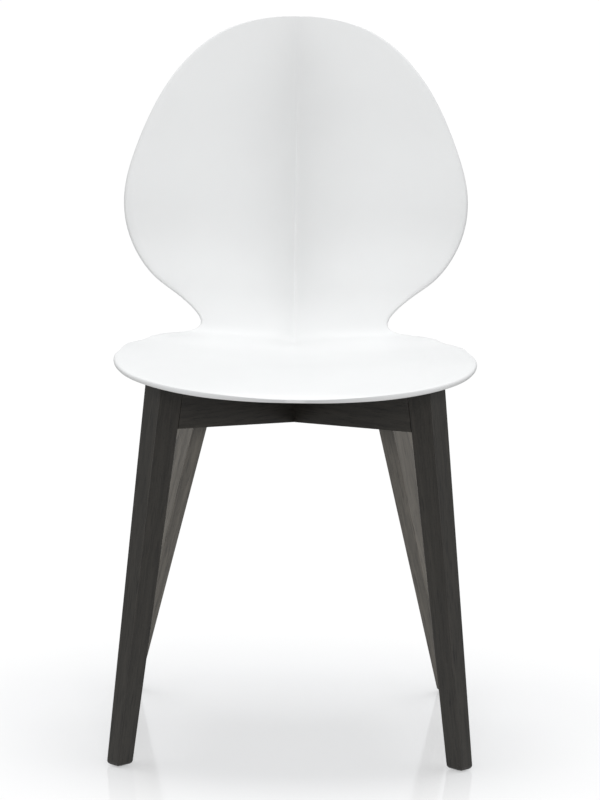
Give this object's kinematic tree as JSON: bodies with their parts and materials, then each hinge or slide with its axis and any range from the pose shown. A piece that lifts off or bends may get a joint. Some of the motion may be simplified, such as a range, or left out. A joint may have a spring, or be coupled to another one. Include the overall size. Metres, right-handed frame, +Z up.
{
  "type": "dining chair",
  "caption": "Dining chair: a white moulded one-piece seat shell with a folded leaf-shaped back, on a dark wooden base of crossed rails and four tapered splayed legs.",
  "frame": {"origin": "on the floor, below the middle of the chair's overall box", "axes": "+Z up, the sitter faces -Y, +X is to the right for someone standing in front of the chair"},
  "size_m": [0.433, 0.5028, 0.8437],
  "materials": {
    "white_plastic": "satin moulded polypropylene",
    "stained_wood": "dark-stained beech under satin lacquer",
    "dowel_wood": "plain turned beech",
    "brass_insert": "turned and knurled",
    "zinc_steel": "zinc plated",
    "nylon_pad": "moulded black nylon"
  },
  "bodies": {
    "root": {"front_left_dowels": "dowel_wood", "front_left_glide": "nylon_pad", "front_left_glide_nail": "zinc_steel", "front_left_leg": "stained_wood", "front_left_seat_screw": "zinc_steel", "front_left_seat_washer": "zinc_steel", "front_left_threaded_insert": "brass_insert", "front_right_dowels": "dowel_wood", "front_right_glide": "nylon_pad", "front_right_glide_nail": "zinc_steel", "front_right_leg": "stained_wood", "front_right_seat_screw": "zinc_steel", "front_right_seat_washer": "zinc_steel", "front_right_threaded_insert": "brass_insert", "rail_front_left_to_rear_right": "stained_wood", "rail_front_right_to_rear_left": "stained_wood", "rear_left_dowels": "dowel_wood", "rear_left_glide": "nylon_pad", "rear_left_glide_nail": "zinc_steel", "rear_left_leg": "stained_wood", "rear_left_seat_screw": "zinc_steel", "rear_left_seat_washer": "zinc_steel", "rear_left_threaded_insert": "brass_insert", "rear_right_dowels": "dowel_wood", "rear_right_glide": "nylon_pad", "rear_right_glide_nail": "zinc_steel", "rear_right_leg": "stained_wood", "rear_right_seat_screw": "zinc_steel", "rear_right_seat_washer": "zinc_steel", "rear_right_threaded_insert": "brass_insert", "seat_shell": "white_plastic"}
  },
  "joints": []
}
